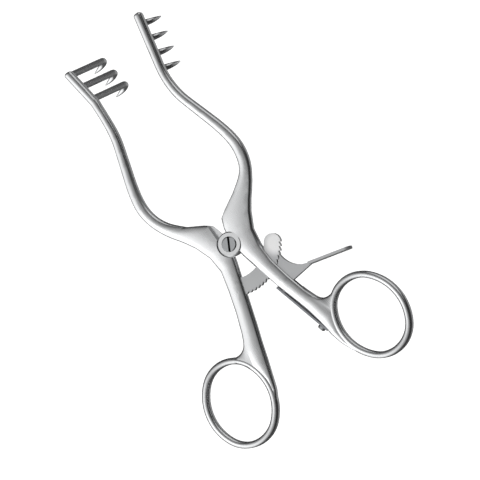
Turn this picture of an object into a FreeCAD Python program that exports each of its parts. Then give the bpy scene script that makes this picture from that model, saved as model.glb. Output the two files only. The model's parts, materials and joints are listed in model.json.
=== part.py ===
import FreeCAD, Part
import math
import os
import re

import Sketcher

# Self retaining retractor: two scissor halves on one screw, three prongs against four,
# held open by an arc rack that is fixed to one handle and caught by a pawl in the other.
# Millimetres. The origin is on the hinge axis at mid-thickness, +Y runs up the middle to
# the jaws, +X to the four-prong half, +Z out of the face with the screw head. The prongs
# point to -Z. Each half is described by its distance out from the middle line.

os.makedirs("parts", exist_ok=True)
doc = FreeCAD.newDocument("SelfRetainingRetractor")
sheet = doc.addObject("Spreadsheet::Sheet", "Sizes")

# Driving dimensions

SIZES = [
    ("body_thick", 5.0, "thickness of arms, joint and handles"),
    ("edge_round", 1.65, "rounding of the long edges"),
    ("handle_round", 2.1, "rounding of the handles' edges"),
    ("face_crown", 0.45, "crown of the faces above their shoulders"),
    ("bar_wide", 3.5, "width of the straight jaw bar"),
    ("left_bar_lean", 10.3, "lean of the left bar in degrees"),
    ("right_bar_lean", 9.9, "lean of the right bar in degrees"),
    ("left_tip_mid", 19.0, "left bar's end, out from the middle"),
    ("right_tip_mid", 19.0, "right bar's end, out from the middle"),
    ("left_tip_height", 95.6, "left bar's end above the hinge"),
    ("right_tip_height", 98.5, "right bar's end above the hinge"),
    ("bar_foot_height", 79.0, "height where the straight bar ends"),
    ("tip_round", 1.1, "rounding of the bar's end"),
    ("neck_height", 72.5, "narrowest place of the arm"),
    ("left_neck_mid", 16.0, "left arm's middle there"),
    ("right_neck_mid", 14.6, "right arm's middle there"),
    ("neck_wide", 3.4, "arm width there"),
    ("nape_height", 67.0, "arm under the neck"),
    ("left_nape_mid", 16.2, "left arm's middle there"),
    ("right_nape_mid", 14.6, "right arm's middle there"),
    ("nape_wide", 3.6, "arm width there"),
    ("throat_height", 61.5, "arm below the neck"),
    ("left_throat_mid", 16.85, "left arm's middle there"),
    ("right_throat_mid", 15.4, "right arm's middle there"),
    ("throat_wide", 3.8, "arm width there"),
    ("flank_height", 56.0, "upper part of the long slope"),
    ("left_flank_mid", 18.2, "left arm's middle there"),
    ("right_flank_mid", 17.15, "right arm's middle there"),
    ("flank_wide", 4.0, "arm width there"),
    ("rise_height", 50.0, "middle of the long slope"),
    ("left_rise_mid", 19.85, "left arm's middle there"),
    ("right_rise_mid", 19.3, "right arm's middle there"),
    ("rise_wide", 4.2, "arm width there"),
    ("slope_height", 43.0, "end of the long slope"),
    ("left_slope_mid", 21.75, "left arm's middle there"),
    ("right_slope_mid", 21.75, "right arm's middle there"),
    ("slope_wide", 4.4, "arm width there"),
    ("bow_height", 37.5, "arm turning over the bow"),
    ("left_bow_mid", 22.9, "left arm's middle there"),
    ("right_bow_mid", 23.3, "right arm's middle there"),
    ("bow_wide", 4.5, "arm width there"),
    ("crown_height", 32.0, "widest bow of the arms"),
    ("left_crown_mid", 23.3, "left arm's middle there"),
    ("right_crown_mid", 24.1, "right arm's middle there"),
    ("crown_wide", 4.6, "arm width there"),
    ("belly_height", 26.5, "arm under the bow"),
    ("left_belly_mid", 22.3, "left arm's middle there"),
    ("right_belly_mid", 23.6, "right arm's middle there"),
    ("belly_wide", 4.8, "arm width there"),
    ("shoulder_height", 21.0, "arm turning in to the joint"),
    ("left_shoulder_mid", 19.65, "left arm's middle there"),
    ("right_shoulder_mid", 21.3, "right arm's middle there"),
    ("shoulder_wide", 5.9, "arm width there"),
    ("root_height", 16.0, "root of the arm"),
    ("root_in", 11.6, "inner edge there"),
    ("left_root_out", 19.7, "left outer edge there"),
    ("right_root_out", 21.3, "right outer edge there"),
    ("crest_height", 12.6, "upper edge of the body"),
    ("crest_in", 5.5, "inner edge there"),
    ("left_crest_out", 17.1, "left outer edge there"),
    ("right_crest_out", 18.8, "right outer edge there"),
    ("notch_height", 10.5, "corner of the notch above the joint"),
    ("notch_in", 2.5, "inner edge there"),
    ("left_notch_out", 15.6, "left outer edge there"),
    ("right_notch_out", 17.1, "right outer edge there"),
    ("cheek_height", 6.5, "body beside the notch"),
    ("cheek_in", 1.1, "inner edge there"),
    ("left_cheek_out", 13.1, "left outer edge there"),
    ("right_cheek_out", 14.4, "right outer edge there"),
    ("waist_in", 0.4, "inner edge at the hinge line"),
    ("left_waist_out", 10.35, "left outer edge there"),
    ("right_waist_out", 11.35, "right outer edge there"),
    ("fork_depth", 7.0, "fork of the handles, below the hinge"),
    ("fork_in", 1.8, "inner edge there"),
    ("left_fork_out", 9.65, "left outer edge there"),
    ("right_fork_out", 10.6, "right outer edge there"),
    ("rack_depth", 15.0, "handle at the rack"),
    ("rack_in", 4.0, "inner edge there"),
    ("rack_out", 11.3, "outer edge there"),
    ("grip_depth", 24.0, "handle below the rack"),
    ("grip_in", 6.5, "inner edge there"),
    ("grip_out", 13.6, "outer edge there"),
    ("shank_depth", 32.0, "lower handle"),
    ("left_shank_in", 8.7, "left inner edge there"),
    ("right_shank_in", 9.3, "right inner edge there"),
    ("shank_out", 16.2, "outer edge there"),
    ("crotch_depth", 39.0, "handle at the top of the ring"),
    ("left_crotch_in", 10.8, "left inner edge there"),
    ("right_crotch_in", 11.7, "right inner edge there"),
    ("crotch_out", 19.2, "outer edge there"),
    ("ring_join_depth", 46.0, "handle beside the ring"),
    ("left_ring_join_in", 12.7, "left inner edge there"),
    ("right_ring_join_in", 13.5, "right inner edge there"),
    ("ring_side_depth", 53.0, "handle at the ring's middle"),
    ("ring_side_in", 14.8, "inner edge there"),
    ("ring_leave_depth", 58.0, "handle running out on the ring"),
    ("ring_leave_in", 16.4, "inner edge there"),
    ("ring_end_depth", 63.0, "end of the handle inside the ring's band"),
    ("ring_end_in", 18.9, "inner edge there"),
    ("left_ring_mid", 32.1, "left ring's centre, out"),
    ("right_ring_mid", 32.8, "right ring's centre, out"),
    ("left_ring_depth", 54.6, "left ring's centre, down"),
    ("right_ring_depth", 55.3, "right ring's centre, down"),
    ("ring_lean", 9.0, "lean of the ring's long axis in degrees"),
    ("ring_hole_wide", 25.3, "finger opening across"),
    ("ring_hole_long", 31.7, "finger opening along"),
    ("ring_end_radius", 11.0, "bend of the opening's ends"),
    ("ring_band", 2.7, "width of the ring's band"),
    ("ring_thick", 4.4, "thickness of the ring's band"),
    ("ring_round", 0.85, "bevel of the ring's band"),
    ("web_hollow", 5.0, "hollow of the web between handle and ring"),
    ("web_sink", 0.15, "web's ends below the faces they meet"),
    ("nose_radius", 5.0, "round end of each half at the hinge"),
    ("nose_proud", 0.2, "height of that end above the face"),
    ("nose_edge", 0.4, "bevel of its rim"),
    ("nose_gap", 0.35, "groove round the other half's nose"),
    ("lap_gap", 0.1, "play between the lapped faces"),
    ("lap_top_out", 3.9, "lapped area's side at its top"),
    ("lap_low_out", 3.4, "lapped area's side at the hinge"),
    ("lap_top_height", 13.4, "top of the lapped area"),
    ("screw_head_radius", 3.0, "pivot screw's head"),
    ("screw_head_tall", 2.1, "height of that head"),
    ("screw_head_proud", 0.35, "head above the boss"),
    ("screw_shank_radius", 1.8, "pivot screw's shank"),
    ("screw_edge", 0.3, "bevel of the head"),
    ("screw_slot_wide", 0.88, "screwdriver slot"),
    ("screw_slot_deep", 0.9, "its depth"),
    ("screw_slot_turn", 63.0, "its direction in degrees"),
    ("running_gap", 0.05, "radial play of turning fits"),
    ("head_gap", 0.12, "play round the screw's head"),
    ("rack_inner", 14.0, "inner radius of the arc rack"),
    ("rack_outer", 20.9, "radius over its teeth"),
    ("rack_thick", 2.4, "thickness of the rack and pawl"),
    ("rack_root_turn", 28.0, "rack's inner end, degrees into the left handle"),
    ("rack_end_turn", 59.4, "centre of its round end, degrees to the right"),
    ("rack_gap", 0.3, "play of the rack in the right handle's slot"),
    ("tooth_deep", 0.8, "depth of the teeth"),
    ("tooth_pitch", 5.0, "pitch of the teeth in degrees"),
    ("tooth_first", 11.0, "first tooth, degrees left of the middle"),
    ("tooth_count", 15, "number of teeth"),
    ("rivet_radius", 0.8, "rack's rivets"),
    ("rivet_turn", 22.5, "their place, degrees left of the middle"),
    ("rivet_spread", 3.4, "distance between them"),
    ("slot_near", 0.3, "slot's end inside the rack"),
    ("slot_end_depth", 30.5, "slot's lower end"),
    ("pin_out", 10.6, "lever pin, out"),
    ("pin_depth", 24.4, "lever pin, down"),
    ("pin_radius", 1.0, "lever pin"),
    ("pawl_boss", 2.9, "round eye of the pawl"),
    ("pawl_gap", 0.25, "pawl's nose off the teeth"),
    ("nose_turn_far", 44.5, "outer end of the nose in degrees"),
    ("nose_turn_near", 31.0, "inner end of the nose in degrees"),
    ("pawl_side_radius", 9.9, "hollow side of the pawl"),
    ("tab_root_out", 24.0, "root of the thumb tab, out"),
    ("tab_root_depth", 24.0, "root of the thumb tab, down"),
    ("tab_long", 17.6, "length of the thumb tab"),
    ("tab_slope", 13.6, "slope of the thumb tab in degrees"),
    ("tab_thick", 1.1, "thickness of the thumb tab"),
    ("tab_wide", 6.4, "width of the thumb tab"),
    ("tab_corner", 2.4, "corner rounding of the thumb tab"),
    ("heel_reach", 4.0, "heel below the pin"),
    ("heel_radius", 1.0, "round end of the heel"),
    ("heel_gap", 0.1, "play between heel and leaf"),
    ("spring_thick", 0.8, "thickness of the leaf"),
    ("spring_wide", 3.0, "width of the leaf"),
    ("leaf_tip_depth", 24.9, "leaf's free end, down"),
    ("spring_below", 2.6, "leaf below its screw"),
    ("seat_depth", 48.0, "spring seat, down"),
    ("seat_sink", 0.33, "spring seat inside the handle's edge"),
    ("leaf_gap", 0.15, "handle cut clear of the bare leaf"),
    ("seat_long", 6.4, "length of the flat under the leaf"),
    ("small_head_radius", 1.6, "spring screw's head"),
    ("small_head_tall", 1.3, "height of that head"),
    ("small_shank_radius", 0.8, "spring screw's shank"),
    ("small_shank_long", 3.2, "shank in the handle"),
    ("small_slot_wide", 0.5, "its slot"),
    ("small_slot_deep", 0.6, "depth of its slot"),
    ("prong_lean", 17.5, "lean of the prongs under the other jaw in degrees"),
    ("prong_rake", 2.7, "slant of the prongs to the bar's end in degrees"),
    ("prong_long", 25.3, "straight length from the bar's middle"),
    ("prong_wide", 2.75, "prong's diameter above the hook"),
    ("prong_point", 0.3, "width of the point"),
    ("hook_radius", 5.2, "bend of the hook, middle line"),
    ("hook_turn", 130.8, "turn of the hook in degrees"),
    ("prong_pitch", 6.7, "spacing of the prongs"),
    ("left_first_prong", 1.5, "left bar's end to its first prong"),
    ("right_first_prong", 1.25, "right bar's end to its first prong"),
    ("left_prong_count", 3, "prongs of the left jaw"),
    ("right_prong_count", 4, "prongs of the right jaw"),
]

ALIASES = set()
for row, (alias, number, meaning) in enumerate(SIZES, start=1):
    sheet.set("A%d" % row, meaning)
    sheet.set("B%d" % row, str(number))
    sheet.setAlias("B%d" % row, alias)
    ALIASES.add(alias)
doc.recompute()


# Helpers that tie shapes to the sheet

def tied(text):
    """The expression with the sheet's name before each size."""
    return re.sub(r"[a-z][a-z_]*", lambda word: "Sizes." + word.group() if word.group() in ALIASES
                  else word.group(), text)


def worth(text):
    """What the expression comes to now."""
    return float(sheet.evalExpression(tied(text)))


def new_body(name):
    body = doc.addObject("PartDesign::Body", name)
    body.Label = name
    return body


def origin_part(body, role):
    return [part for part in body.Origin.OriginFeatures if part.Role == role][0]


def new_sketch(body, name, plane="XY_Plane", lift=None):
    """A sketch on one of the body's own planes, lifted along its normal by an expression."""
    sketch = body.newObject("Sketcher::SketchObject", name)
    sketch.AttachmentSupport = [(origin_part(body, plane), "")]
    sketch.MapMode = "FlatFace"
    if lift is not None:
        sketch.setExpression("AttachmentOffset.Base.z", tied(lift))
    return sketch


def hold(sketch, kind, geometry, point, text):
    """Ties one coordinate of a point to an expression, measured from the sketch's origin."""
    number = worth(text)
    if number >= 0:
        index = sketch.addConstraint(Sketcher.Constraint(kind, -1, 1, geometry, point, number))
        sketch.setExpression("Constraints[%d]" % index, tied(text))
    else:
        index = sketch.addConstraint(Sketcher.Constraint(kind, geometry, point, -1, 1, -number))
        sketch.setExpression("Constraints[%d]" % index, tied("-(%s)" % text))


def hold_size(sketch, kind, geometry, text):
    index = sketch.addConstraint(Sketcher.Constraint(kind, geometry, worth(text)))
    sketch.setExpression("Constraints[%d]" % index, tied(text))


def outline(sketch, corners, arcs=None):
    """Closed outline through corners, each a pair of expressions. arcs gives the side that
    leaves a corner as (radius, turn), turn 1 for counter-clockwise and -1 for clockwise."""
    arcs = arcs or {}
    points = [FreeCAD.Vector(worth(x), worth(y), 0) for x, y in corners]
    base = sketch.GeometryCount
    ends = []
    for index, start in enumerate(points):
        end = points[(index + 1) % len(points)]
        if index in arcs:
            radius, turn = worth(arcs[index][0]), arcs[index][1]
            chord = end - start
            rise = math.sqrt(max(radius ** 2 - chord.Length ** 2 / 4, 0))
            left = FreeCAD.Vector(-chord.y, chord.x, 0).normalize()
            centre = start + chord * 0.5 + left * (rise * turn)
            first, last = (start, end) if turn > 0 else (end, start)
            angle = [math.atan2(p.y - centre.y, p.x - centre.x) for p in (first, last)]
            if angle[1] < angle[0]:
                angle[1] += 2 * math.pi
            circle = Part.Circle(centre, FreeCAD.Vector(0, 0, 1), radius)
            sketch.addGeometry(Part.ArcOfCircle(circle, angle[0], angle[1]), False)
            ends.append((1, 2) if turn > 0 else (2, 1))
        else:
            sketch.addGeometry(Part.LineSegment(start, end), False)
            ends.append((1, 2))
    for index in range(len(points)):
        following = (index + 1) % len(points)
        sketch.addConstraint(Sketcher.Constraint(
            "Coincident", base + index, ends[index][1], base + following, ends[following][0]))
    for index, (x, y) in enumerate(corners):
        hold(sketch, "DistanceX", base + index, ends[index][0], x)
        hold(sketch, "DistanceY", base + index, ends[index][0], y)
    for index, (radius, turn) in arcs.items():
        hold_size(sketch, "Radius", base + index, radius)


def circle(sketch, radius, centre=None):
    """A circle about the sketch's origin, or about a centre given as two expressions."""
    middle = FreeCAD.Vector(0, 0, 0)
    if centre is not None:
        middle = FreeCAD.Vector(worth(centre[0]), worth(centre[1]), 0)
    index = sketch.addGeometry(
        Part.Circle(middle, FreeCAD.Vector(0, 0, 1), worth(radius)), False)
    if centre is None:
        sketch.addConstraint(Sketcher.Constraint("Coincident", index, 3, -1, 1))
    else:
        hold(sketch, "DistanceX", index, 3, centre[0])
        hold(sketch, "DistanceY", index, 3, centre[1])
    hold_size(sketch, "Radius", index, radius)


def pad(body, sketch, name, length, both_ways=False, reverse=False):
    feature = body.newObject("PartDesign::Pad", name)
    feature.Profile = sketch
    feature.SideType = "Symmetric" if both_ways else "One side"
    feature.Reversed = reverse
    feature.setExpression("Length", tied(length))
    return feature


def pocket(body, sketch, name, length, both_ways=False, reverse=False):
    feature = body.newObject("PartDesign::Pocket", name)
    feature.Profile = sketch
    feature.SideType = "Symmetric" if both_ways else "One side"
    feature.Reversed = reverse
    feature.setExpression("Length", tied(length))
    return feature


def revolve(body, sketch, name):
    feature = body.newObject("PartDesign::Revolution", name)
    feature.Profile = sketch
    feature.ReferenceAxis = (sketch, ["V_Axis"])
    feature.Angle = 360
    return feature


def loft(body, sections, name):
    feature = body.newObject("PartDesign::AdditiveLoft", name)
    feature.Profile = sections[0]
    feature.Sections = sections[1:]
    feature.Ruled = True
    return feature


def soften(body, base, name, size, choose, kind="Fillet"):
    """Rounds or bevels the edges of the base that the rule picks."""
    doc.recompute()
    edges = ["Edge%d" % (n + 1) for n, edge in enumerate(base.Shape.Edges) if choose(edge)]
    feature = body.newObject("PartDesign::" + kind, name)
    feature.Base = (base, edges)
    feature.setExpression("Radius" if kind == "Fillet" else "Size", tied(size))
    return feature


def unite(body, tools, name, kind="Fuse"):
    feature = body.newObject("PartDesign::Boolean", name)
    feature.Type = kind
    feature.addObjects(tools)
    return feature


def place(body, x, y, yaw, pitch="0", z="0"):
    body.setExpression("Placement", "placement(vector(%s; %s; %s); rotation(%s; %s; 0))" % (
        tied(x), tied(y), tied(z), tied(yaw), tied(pitch)))


# Lower handle edge that follows the ring's middle line
RING_LINE = ("%s_ring_mid - (ring_hole_wide + ring_band) / 2 * sqrt(max(0.05; 1 - "
             "((%s - %s_ring_depth) / ((ring_hole_long + ring_band) / 2))^2))")


def wall_stations(side):
    """Height, inner edge, outer edge, thickness and rounding of each section of one half."""
    stations = []
    bar = "%s_tip_mid - (%s_tip_height - (%s)) * tan(%s_bar_lean)"
    half_bar = "bar_wide / 2 / cos(%s_bar_lean)" % side
    for height in ("%s_tip_height" % side, "bar_foot_height"):
        middle = bar % (side, side, height, side)
        stations.append((height, "%s - %s" % (middle, half_bar),
                         "%s + %s" % (middle, half_bar), "body_thick", "edge_round"))
    for place_name in ("neck", "nape", "throat", "flank", "rise", "slope", "bow", "crown",
                       "belly", "shoulder"):
        middle = "%s_%s_mid" % (side, place_name)
        stations.append((place_name + "_height", "%s - %s_wide / 2" % (middle, place_name),
                         "%s + %s_wide / 2" % (middle, place_name), "body_thick", "edge_round"))
    for place_name in ("root", "crest", "notch", "cheek"):
        stations.append((place_name + "_height", place_name + "_in",
                         "%s_%s_out" % (side, place_name), "body_thick", "edge_round"))
    stations.append(("0", "waist_in", side + "_waist_out", "body_thick", "edge_round"))
    stations.append(("-fork_depth", "fork_in", side + "_fork_out", "body_thick", "handle_round"))
    stations.append(("-rack_depth", "rack_in", "rack_out", "body_thick", "handle_round"))
    stations.append(("-grip_depth", "grip_in", "grip_out", "body_thick", "handle_round"))
    for place_name in ("shank", "crotch"):
        stations.append(("-%s_depth" % place_name, "%s_%s_in" % (side, place_name),
                         place_name + "_out", "body_thick", "handle_round"))
    stations.append(("-ring_join_depth", side + "_ring_join_in",
                     RING_LINE % (side, "ring_join_depth", side), "body_thick", "handle_round"))
    for place_name, share in (("ring_side", "0.94"), ("ring_leave", "0.86"), ("ring_end", "0.7")):
        stations.append(("-%s_depth" % place_name, place_name + "_in",
                         RING_LINE % (side, place_name + "_depth", side),
                         "ring_thick * " + share, "handle_round"))
    return stations


def section_sketch(body, name, side, station):
    """A section across the half at one height: crowned faces, rounded corners, upright sides.
    Each corner turns through 65 degrees, so the crown goes on from it without a hollow."""
    height, inner, outer, thick, rounding = station
    sketch = new_sketch(body, name, "XZ_Plane", "-(%s)" % height)
    low, high = (inner, outer) if side == "right" else ("-(%s)" % outer, "-(%s)" % inner)
    middle, half = "((%s) + (%s)) / 2" % (low, high), "((%s) - (%s)) / 2" % (high, low)
    bend = "min(%s; 0.92 * %s; 0.42 * %s)" % (rounding, half, thick)
    reach = "(%s - (1 - cos(65)) * %s)" % (half, bend)
    rise = "min(face_crown; 0.22 * %s)" % reach
    shoulder = "(%s / 2 - %s)" % (thick, rise)
    upright = "(%s - sin(65) * %s)" % (shoulder, bend)
    left, right = "%s - %s" % (middle, reach), "%s + %s" % (middle, reach)
    crown = "(%s^2 + %s^2) / (2 * %s)" % (reach, rise, rise)
    outline(sketch, [
        (left, "-" + shoulder), (right, "-" + shoulder), (high, "-" + upright), (high, upright),
        (right, shoulder), (left, shoulder), (low, upright), (low, "-" + upright),
    ], {0: (crown, 1), 1: (bend, 1), 3: (bend, 1), 4: (crown, 1), 5: (bend, 1), 7: (bend, 1)})
    return sketch


# Finger rings

def four_arc_oval(sketch, grow):
    """The finger opening's outline grown by a margin: two end arcs and two flatter sides."""
    wide, tall, end = "ring_hole_wide / 2", "ring_hole_long / 2", "ring_end_radius"
    flat = "((%s)^2 + (%s)^2 - 2 * %s * %s) / (2 * (%s - %s))" % (wide, tall, tall, end, wide, end)
    run = "(%s + %s) / (%s - %s)" % (end, grow, flat, end)
    x = "(%s - %s) * %s" % (flat, wide, run)
    y = "(%s - %s) * (1 + %s)" % (tall, end, run)
    outline(sketch, [(x, "-(%s)" % y), (x, y), ("-(%s)" % x, y), ("-(%s)" % x, "-(%s)" % y)],
            {0: ("%s + %s" % (flat, grow), 1), 1: ("%s + %s" % (end, grow), 1),
             2: ("%s + %s" % (flat, grow), 1), 3: ("%s + %s" % (end, grow), 1)})


def ring_form(side):
    """The ring's band in its own frame, with rounded edges."""
    body = new_body(side + "_ring_form")
    sketch = new_sketch(body, side + "_ring_outline")
    four_arc_oval(sketch, "ring_band")
    four_arc_oval(sketch, "0")
    band = pad(body, sketch, side + "_ring_band", "ring_thick", both_ways=True)
    soften(body, band, side + "_ring_edges", "min(ring_round; 0.45 * ring_band)",
           lambda edge: edge.BoundBox.ZLength < 0.01, "Chamfer")
    sign = "" if side == "right" else "-"
    place(body, "%s%s_ring_mid" % (sign, side), "-%s_ring_depth" % side,
          "%sring_lean" % sign)
    return body


def web_form(side):
    """The hollow web in the crotch, its arc touching the handle's edge and the ring's end."""
    body = new_body(side + "_web_form")
    sketch = new_sketch(body, side + "_web_outline")
    edge = "atan((crotch_out - shank_out) / (crotch_depth - shank_depth))"
    bend = "(ring_hole_long / 2 - ring_end_radius)"
    round_x = "(%s_ring_mid - %s * sin(ring_lean))" % (side, bend)
    round_y = "(%s * cos(ring_lean) - %s_ring_depth)" % (bend, side)
    grown = "(ring_end_radius + ring_band - web_sink)"
    away = ("((web_hollow + (crotch_out - web_sink - %s) * cos(%s) - (crotch_depth + %s)"
            " * sin(%s)) / (%s + web_hollow))" % (round_x, edge, round_y, edge, grown))
    turn = "(%s + acos(max(-0.95; min(0.95; %s))))" % (edge, away)
    centre_x = "(%s + (%s + web_hollow) * cos(%s))" % (round_x, grown, turn)
    centre_y = "(%s + (%s + web_hollow) * sin(%s))" % (round_y, grown, turn)
    corners = [
        ("%s - web_hollow * cos(%s)" % (centre_x, edge),
         "%s - web_hollow * sin(%s)" % (centre_y, edge)),
        ("%s + %s * cos(%s)" % (round_x, grown, turn), "%s + %s * sin(%s)" % (round_y, grown, turn)),
        ("%s + (%s - ring_band / 2) * cos(%s)" % (round_x, grown, turn),
         "%s + (%s - ring_band / 2) * sin(%s)" % (round_y, grown, turn)),
        ("crotch_out + 0.3", "-ring_join_depth"),
        ("crotch_out - 3", "-ring_join_depth"),
        ("shank_out - 2.5", "%s - web_hollow * sin(%s)" % (centre_y, edge)),
    ]
    if side == "left":
        corners = [("-(%s)" % x, y) for x, y in corners]
        outline(sketch, corners, {0: ("web_hollow", -1)})
    else:
        outline(sketch, corners, {0: ("web_hollow", 1)})
    web = pad(body, sketch, side + "_web", "ring_thick - 0.2", both_ways=True)
    soften(body, web, side + "_web_edges", "ring_round", lambda edge:
           edge.BoundBox.ZLength < 0.01 and edge.Curve.TypeId == "Part::GeomCircle", "Chamfer")
    return body


# Prongs

def prong_form(side):
    """The jaw's row of prongs, in a frame on the bar's end with Y along the bar."""
    body = new_body(side + "_prong_form")
    out = "1" if side == "right" else "-1"
    sections = []

    def station(name, along, aside, turned, wide):
        """A round section: along the shank's axis, aside from it, turned with the hook."""
        sketch = body.newObject("Sketcher::SketchObject", "%s_prong_%s" % (side, name))
        sketch.AttachmentSupport = [(origin_part(body, "XY_Plane"), "")]
        sketch.MapMode = "FlatFace"
        level = "(%s) * cos(prong_rake)" % along
        x = "%s * ((%s) * cos(prong_lean) - %s * sin(prong_lean))" % (out, aside, level)
        y = "(%s) * sin(prong_rake) - %s_first_prong" % (along, side)
        z = "-(%s * cos(prong_lean) + (%s) * sin(prong_lean))" % (level, aside)
        pitch = "%s * (prong_lean - %s)" % (out, turned)
        roll = "prong_rake * cos(%s)" % turned
        sketch.setExpression("AttachmentOffset", "placement(vector(%s; %s; %s); rotation(0; %s; %s))"
                             % (tied(x), tied(y), tied(z), tied(pitch), tied(roll)))
        radius = "(%s) / 2" % wide
        near, far = "-(%s) * cos(45)" % radius, "%s * cos(45)" % radius
        outline(sketch, [(near, near), (far, near), (far, far), (near, far)],
                {quarter: (radius, 1) for quarter in range(4)})
        sections.append(sketch)

    for index, share in enumerate((-0.04, 1.0)):
        station("shank%d" % index, "prong_long * %g" % share, "0", "0", "prong_wide")
    for index, share in enumerate((0.2, 0.42, 0.64, 0.84, 1.0)):
        turned = "hook_turn * %g" % share
        taper = "(1 - %g)" % (share ** 3.4)
        station("hook%d" % index, "prong_long + hook_radius * sin(%s)" % turned,
                "hook_radius * (1 - cos(%s))" % turned, turned,
                "(prong_wide - prong_point) * %s + prong_point" % taper)
    prong = loft(body, sections, side + "_prong")
    row_of = body.newObject("PartDesign::LinearPattern", side + "_prong_row")
    row_of.Originals = [prong]
    row_of.Direction = (origin_part(body, "Y_Axis"), [""])
    row_of.Reversed = True
    row_of.Mode = "Extent"
    row_of.setExpression("Length", tied("prong_pitch * (%s_prong_count - 1)" % side))
    row_of.setExpression("Occurrences", tied("%s_prong_count" % side))
    body.Tip = row_of
    sign = "" if side == "right" else "-"
    lean = "-" if side == "right" else ""
    place(body, "%s%s_tip_mid" % (sign, side), "%s_tip_height" % side,
          "%s%s_bar_lean" % (lean, side))
    return body


# Forged halves

def blank(side):
    """One half as forged: arm, body and handle in one skin, with ring, web and prongs."""
    body = new_body(side + "_half")
    sections = []
    for index, station in enumerate(wall_stations(side)):
        sections.append(section_sketch(body, "%s_section%02d" % (side, index), side, station))
    skin = loft(body, sections, side + "_skin")
    doc.recompute()
    tip_height = worth(side + "_tip_height")
    soften(body, skin, side + "_tip_edges", "tip_round",
           lambda edge: edge.BoundBox.YMin > tip_height - 0.01)
    nose = new_sketch(body, side + "_nose_outline", "XZ_Plane")
    start, top = "lap_gap / 2", "body_thick / 2 + nose_proud"
    if side == "right":
        outline(nose, [("0.01", start), ("nose_radius", start),
                       ("nose_radius", "%s - nose_edge" % top),
                       ("nose_radius - nose_edge", top), ("0.01", top)])
    else:
        outline(nose, [("0.01", "-(%s)" % start), ("nose_radius", "-(%s)" % start),
                       ("nose_radius", "-(%s) + nose_edge" % top),
                       ("nose_radius - nose_edge", "-(%s)" % top), ("0.01", "-(%s)" % top)])
    revolve(body, nose, side + "_nose")
    unite(body, [ring_form(side), web_form(side), prong_form(side)], side + "_forging")
    return body


def lap(body, side):
    """Cuts half the thickness away where the other half lies and swings."""
    lift = "lap_gap / 2" if side == "right" else "-lap_gap / 2"
    reverse = side == "left"
    disc = new_sketch(body, side + "_lap_disc", lift=lift)
    circle(disc, "nose_radius + nose_gap")
    pocket(body, disc, side + "_lap_round", "body_thick", reverse=reverse)
    notch = new_sketch(body, side + "_lap_notch", lift=lift)
    corners = [("-lap_top_out", "lap_low_out"), ("lap_low_out", "lap_low_out"),
               ("lap_top_out", "lap_top_height"), ("-lap_top_out", "lap_top_height")]
    if side == "left":
        corners = [("-(%s)" % x, y) for x, y in corners]
    outline(notch, corners)
    pocket(body, notch, side + "_lap_open", "body_thick", reverse=reverse)


def right_half():
    body = blank("right")
    lap(body, "right")
    bore = new_sketch(body, "right_bore", lift="body_thick")
    circle(bore, "screw_shank_radius + running_gap")
    pocket(body, bore, "right_pivot_bore", "2 * body_thick")
    sink = new_sketch(body, "right_sink", lift="body_thick")
    circle(sink, "screw_head_radius + head_gap")
    pocket(body, sink, "right_head_recess",
           "body_thick / 2 - nose_proud - screw_head_proud + screw_head_tall")
    slot = new_sketch(body, "right_slot_outline")
    near = "rack_inner - slot_near"
    outline(slot, [("(%s) * sin(5)" % near, "-(%s) * cos(5)" % near),
                   ("(%s) * sin(72)" % near, "-(%s) * cos(72)" % near),
                   ("rack_outer + 2", "-(%s) * cos(72)" % near),
                   ("rack_outer + 2", "-slot_end_depth"),
                   ("(%s) * sin(5)" % near, "-slot_end_depth")], {0: (near, 1)})
    pocket(body, slot, "right_slot", "rack_thick + 2 * rack_gap", both_ways=True)
    hole = new_sketch(body, "right_pin_outline", lift="body_thick")
    circle(hole, "pin_radius", ("pin_out", "-pin_depth"))
    pocket(body, hole, "right_pin_hole", "2 * body_thick")
    unite(body, [spring_seat_tool()], "right_spring_seat", "Cut")
    return body


# The leaf's seat: its frame has Z away from the handle and Y up the leaf

SEAT_EDGE = ("(seat_depth < ring_join_depth"
             " ? right_crotch_in + (right_ring_join_in - right_crotch_in)"
             " * (seat_depth - crotch_depth) / (ring_join_depth - crotch_depth)"
             " : right_ring_join_in + (ring_side_in - right_ring_join_in)"
             " * (seat_depth - ring_join_depth) / (ring_side_depth - ring_join_depth))")
SEAT_OUT = "(%s + seat_sink)" % SEAT_EDGE
HEEL_OUT = "(pin_out - 2.6 * heel_radius - heel_gap)"
HEEL_DEPTH = "(pin_depth + heel_reach - 0.4 * heel_radius)"
LEAF_LEAN = "atan((%s - %s) / (seat_depth - %s))" % (SEAT_OUT, HEEL_OUT, HEEL_DEPTH)
LEAF_ABOVE = "(seat_depth - leaf_tip_depth) / cos(%s)" % LEAF_LEAN


def place_on_seat(body):
    place(body, SEAT_OUT, "-seat_depth", LEAF_LEAN, "-90")


def spring_seat_tool():
    """The flat under the leaf, the room along its bare length and the screw's blind hole."""
    body = new_body("spring_seat_tool")
    side = "body_thick / 2 + 1"
    flat = new_sketch(body, "seat_outline")
    outline(flat, [("-(%s)" % side, "-seat_long / 2"), (side, "-seat_long / 2"),
                   (side, "seat_long / 2"), ("-(%s)" % side, "seat_long / 2")])
    pad(body, flat, "seat_flat", "4 * spring_thick")
    room = new_sketch(body, "leaf_room_outline", lift="-leaf_gap")
    outline(room, [("-(%s)" % side, "seat_long / 2 - 0.1"), (side, "seat_long / 2 - 0.1"),
                   (side, "%s + 1" % LEAF_ABOVE), ("-(%s)" % side, "%s + 1" % LEAF_ABOVE)])
    pad(body, room, "leaf_room", "4 * spring_thick + leaf_gap")
    hole = new_sketch(body, "seat_hole_outline", lift="spring_thick")
    circle(hole, "small_shank_radius")
    pad(body, hole, "seat_hole", "small_shank_long + spring_thick", reverse=True)
    place_on_seat(body)
    return body


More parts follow.
